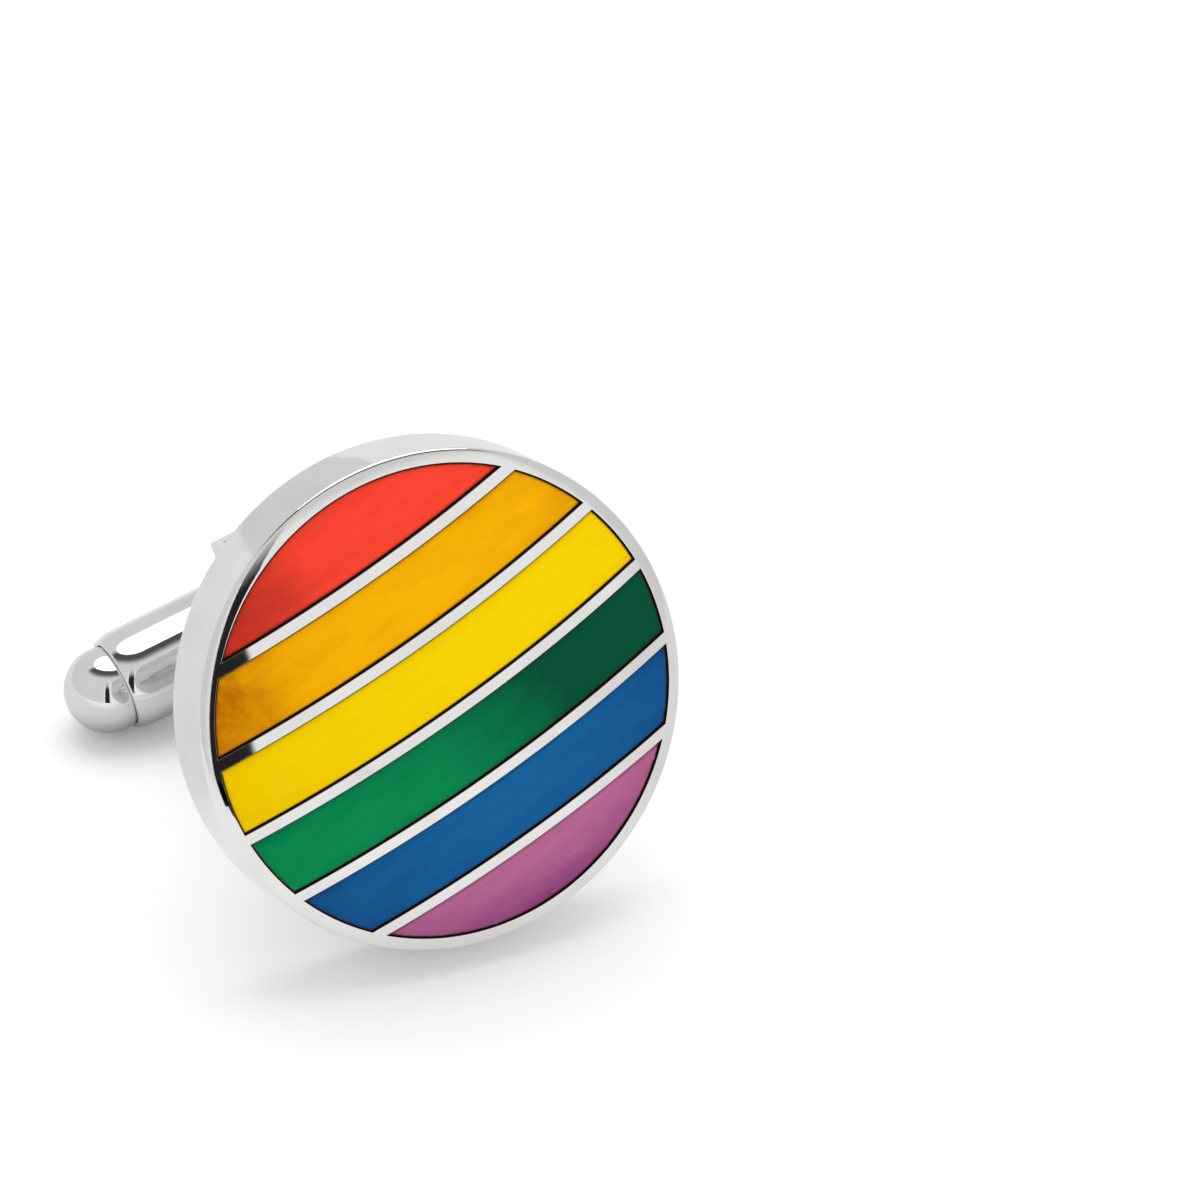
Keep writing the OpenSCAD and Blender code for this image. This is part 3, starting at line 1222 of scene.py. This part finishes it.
@dataclass
class BentPost(Assembly):
    """The bent strip, the fillet at its foot and the square bar through its ends.

    The swell gives how far each ring of the fillet lies inside and beyond the one before.
    """

    width: float = 2.45
    thick: float = 0.8
    bend: float = 1.4
    bend_steps: int = 16
    outer_r: float = 0.3
    inner_r: float = 0.06
    tip_z: float = -18.775
    spare: float = 0.3
    slope_z: float = -19.1
    slope: float = 22.0
    bar: float = 1.5
    fit_gap: float = 0.02
    shoulder_r: float = 1.2
    shoulder_ease: float = 0.05
    strip_edge: float = 0.045
    bar_edge: float = 0.03
    sides: int = 96
    flat: float = 1.8
    foot_corner: float = 1.5
    foot_rise: float = 0.04
    swell: Sequence[Pair] = ((0.05, 0.07), (0.07, 0.08), (0.09, 0.08), (0.10, 0.07), (0.12, 0.05))

    def build(self) -> None:
        """Builds the post's pieces."""
        self._strip()
        self._fillet()
        self._pivot()

    def _strip(self) -> None:
        """Bends the strip to a U and shapes the ends of its legs."""
        low = self.tip_z - self.width / 2 - self.spare
        middle = (SIZES.leg_in + SIZES.leg_out) / 2
        bench = plate("post_strip", self.width, self.thick, (0.0, middle, low))
        bench.pick(Pick.VERTS, lambda p: p.y > middle)
        bench.round_corners(self.outer_r, 8)
        bench.pick(Pick.VERTS, lambda p: p.y < middle - self.thick / 2 + 0.01)
        bench.round_corners(self.inner_r, 3)
        bench.all()
        top = SIZES.seat_z - self.bend
        half = SIZES.leg_out - self.bend
        bench.extrude(z=top - low)
        for side in (1.0, -1.0):
            bpy.ops.mesh.spin(
                steps=self.bend_steps, angle=-math.pi / 2, center=(0.0, side * half, top),
                axis=(1.0, 0.0, 0.0),
            )
            if side > 0.0:
                bench.extrude(y=-2.0 * half)
        bench.extrude(z=low - top)
        bench.carve(self._end_shape(), Join.TRIM)
        bench.sort()
        slope = math.radians(self.slope)
        for side in (1.0, -1.0):
            bench.slice(
                (0.0, side * SIZES.leg_out, self.slope_z),
                (0.0, side * math.cos(slope), -math.sin(slope)),
                clear=True,
                fill=True,
            )
        hole = self._square("tenon_hole", self.bar + 2 * self.fit_gap, 2 * SIZES.leg_out + 1.0)
        bench.carve(hole, Join.CUT)
        bench.sort()
        bench.soften(self.strip_edge)
        self.dress(bench, SilverMetal("post_silver"), "polished_post", "post")

    def _end_shape(self) -> Bench:
        """Makes the tool that rounds both leg ends and leaves what is above them.

        Returns:
            The tool.
        """
        step, up, across = 0.005, 17.0, 8.0
        tool = turned("end_shape", [(self.width / 2 + 0.001, 0.0)])
        tool.slice(ORIGIN, (0.0, 1.0, 0.0), clear=True)
        tool.pick(Pick.EDGES, lambda p: p.y > -0.001)
        tool.extrude(y=step)
        tool.grow(1.1)
        tool.extrude(y=up)
        tool.all()
        tool.extrude(z=across)
        tool.settle(Matrix.Translation((0.0, across / 2, self.tip_z)) @ turn_by(90.0, "X"))
        return tool

    def _square(self, name: str, side: float, length: float) -> Bench:
        """Makes a square bar across the leg ends.

        Args:
            name: Its name.
            side: Width of its sides.
            length: Its length.

        Returns:
            The bar, open for editing.
        """
        bench = Bench(name, bpy.ops.mesh.primitive_cube_add, size=1.0)
        bench.grow(side, length, side)
        bench.move(z=SIZES.pivot_z)
        return bench

    def _fillet(self) -> None:
        """Builds the soft fillet of solder round the foot."""
        foot = (0.0, 0.0, SIZES.seat_z)
        bench = plate("solder_fillet_soft", SIZES.foot_x, SIZES.foot_y, foot, self.foot_corner)
        bench.extrude(z=-self.foot_rise)
        for inward, up in self.swell:
            bench.inset(inward, -up)
        self.dress(bench, SilverMetal("fillet_silver", Wear.TUMBLED), "solder", "solder_fillet")

    def _pivot(self) -> None:
        """Builds the square bar and the round shoulders on it."""
        bench = self._square("pivot_square", self.bar, 2 * SIZES.leg_out)
        radius, inner, ease = self.shoulder_r, self.flat / 2, self.shoulder_ease
        profile = [(radius - ease, inner), (radius, inner + ease), (radius, SIZES.leg_in)]
        for side in (-1.0, 1.0):
            shoulder = turned("shoulder", profile, self.sides)
            middle = Matrix.Translation((0.0, 0.0, SIZES.pivot_z))
            shoulder.settle(middle @ turn_by(-90.0 * side, "X"))
            bench.carve(shoulder, Join.ADD)
        bench.soften(self.bar_edge)
        self.dress(bench, SilverMetal("pivot_steel", Wear.TUMBLED), "plain_steel", "pivot_bar")


@dataclass
class SwivelBar(Assembly):
    """The barrel, its ball noses and the click pieces inside it.

    The roll gives where the barrel starts to roll in and by how much, the window its width,
    depth and corner, and the plunger the places of its tip, its step and its back.
    """

    body: ClassVar[str] = "bar"
    radius: float = 1.95
    wall: float = 0.45
    edge: float = 0.08
    lip_z: float = 7.04
    lip: float = 0.14
    lip_gap: float = 0.02
    sides: int = 96
    rings: Point = (0.2, 2.3, 4.0)
    roll: Pair = (6.0, 0.118)
    roll_power: float = 2.6
    roll_steps: int = 14
    bead: float = 0.1
    bead_end: float = 168.0
    throat_r: float = 1.665
    socket_r: float = 1.70
    window: Point = (3.76, 2.5, 0.7)
    window_cut: float = 6.0
    nose_r: float = 1.68
    nose_x: float = 7.42
    nose_back: float = 5.8
    nose_ease: float = 0.08
    nose_steps: int = 40
    neck_r: float = 1.60
    plunger: Point = (1.111, 1.25, 3.15)
    plunger_r: Pair = (0.85, 1.45)
    ease: float = 0.07
    wire_r: float = 0.15
    wire_sides: int = 12
    coil_r: float = 1.05
    coil_steps: int = 28
    turns: int = 4

    def build(self) -> None:
        """Builds the bar's pieces."""
        self.place = SIZES.along_bar()
        self._barrel()
        for end in End:
            self.place = SIZES.along_bar(end)
            self._nose(end)
            self._plunger(end)
            self._spring(end)

    def _barrel(self) -> None:
        """Builds the barrel with its two lips, its bore and its windows."""
        start, drop = self.roll
        steps, power = self.roll_steps, self.roll_power
        length = self.lip_z - self.bead * 0.7 - start
        tilt = math.atan(power * drop / length)
        bead = (
            self.radius - drop - self.bead * math.cos(tilt),
            start + length - self.bead * math.sin(tilt),
        )
        rolled = [
            (self.radius - drop * (i / steps) ** power, start + length * i / steps)
            for i in range(steps + 1)
        ]
        half = [
            *((self.radius, place) for place in self.rings),
            *rolled,
            *arc(bead, self.bead, math.degrees(tilt) + 8.0, self.bead_end, 8),
            (self.throat_r, self.lip_z - self.lip),
            (self.socket_r, self.lip_z - self.lip),
            (self.socket_r, self.nose_back),
            (self.radius - self.wall, self.nose_back),
        ]
        mirrored = [(r, -z) for r, z in reversed(half)]
        bench = turned("barrel_tube", [*half, *mirrored, half[0]], self.sides, filled=False)
        bench.tidy()
        bench.carve(self._window(), Join.CUT)
        bench.soften(self.edge, segments=3, angle=58.0)
        self.dress(bench, SilverMetal("barrel_silver"), "polished_barrel", "barrel")

    def _window(self) -> Bench:
        """Makes the tool that cuts both windows.

        Returns:
            The tool.
        """
        width, depth, corner = self.window
        tool = plate("window_tool", depth, width, ORIGIN, corner)
        tool.extrude(z=self.window_cut)
        tool.settle(Matrix.Translation((0.0, self.window_cut / 2, 0.0)) @ turn_by(90.0, "X"))
        return tool

    def _nose(self, end: End) -> None:
        """Builds the ball nose, with its neck and shank, that closes one end.

        Args:
            end: The end.
        """
        rise = self.lip_z + self.lip_gap - self.nose_x
        first = math.degrees(math.asin(rise / self.nose_r))
        profile = [
            (self.nose_r - self.nose_ease, self.nose_back),
            (self.nose_r, self.nose_back + self.nose_ease),
            (self.nose_r, self.lip_z - self.lip - self.lip_gap),
            (self.neck_r, self.lip_z - self.lip),
            (self.neck_r, self.lip_z),
            *arc((0.0, self.nose_x), self.nose_r, first, 88.5, self.nose_steps),
        ]
        bench = turned(f"nose_ball_{end}", profile)
        self.dress(bench, SilverMetal(f"nose_silver_{end}"), "polished_barrel", f"nose_{end}")

    def _plunger(self, end: End) -> None:
        """Builds the plunger that one end's spring presses inwards.

        Args:
            end: The end.
        """
        tip, step, back = self.plunger
        thin, wide = self.plunger_r
        ease = self.ease
        profile = [
            (thin - ease, tip), (thin, tip + ease), (thin, step), (wide - ease, step),
            (wide, step + ease), (wide, back - ease), (wide - ease, back),
        ]
        bench = turned(f"click_plunger_{end}", profile, 64)
        metal = SilverMetal(f"plunger_steel_{end}", Wear.DRAWN)
        self.dress(bench, metal, "plain_steel", f"plunger_{end}")

    def _spring(self, end: End) -> None:
        """Builds the coil spring at one end.

        Args:
            end: The end.
        """
        bench = Bench(
            f"click_spring_{end}", bpy.ops.mesh.primitive_circle_add, vertices=self.wire_sides,
            radius=self.wire_r, rotation=(math.radians(90.0), 0.0, 0.0),
        )
        back = self.plunger[2]
        bench.move(x=self.coil_r, z=back + self.wire_r)
        pitch = (self.nose_back - back - 2 * self.wire_r) / self.turns
        bench.modify(
            "SCREW", angle=2 * math.pi, screw_offset=pitch, iterations=self.turns,
            steps=self.coil_steps, render_steps=self.coil_steps, use_merge_vertices=False,
        )
        bpy.ops.mesh.fill_holes(sides=0)
        metal = SilverMetal(f"spring_steel_{end}", Wear.DRAWN)
        self.dress(bench, metal, "spring_steel", f"spring_{end}")


def main() -> None:
    """Builds the scene."""
    logging.basicConfig(level=logging.INFO, format="%(name)s: %(message)s")
    for part in (Studio(), StripedFace(), Back(), BentPost(), SwivelBar()):
        part.build()


if __name__ == "__main__":
    main()
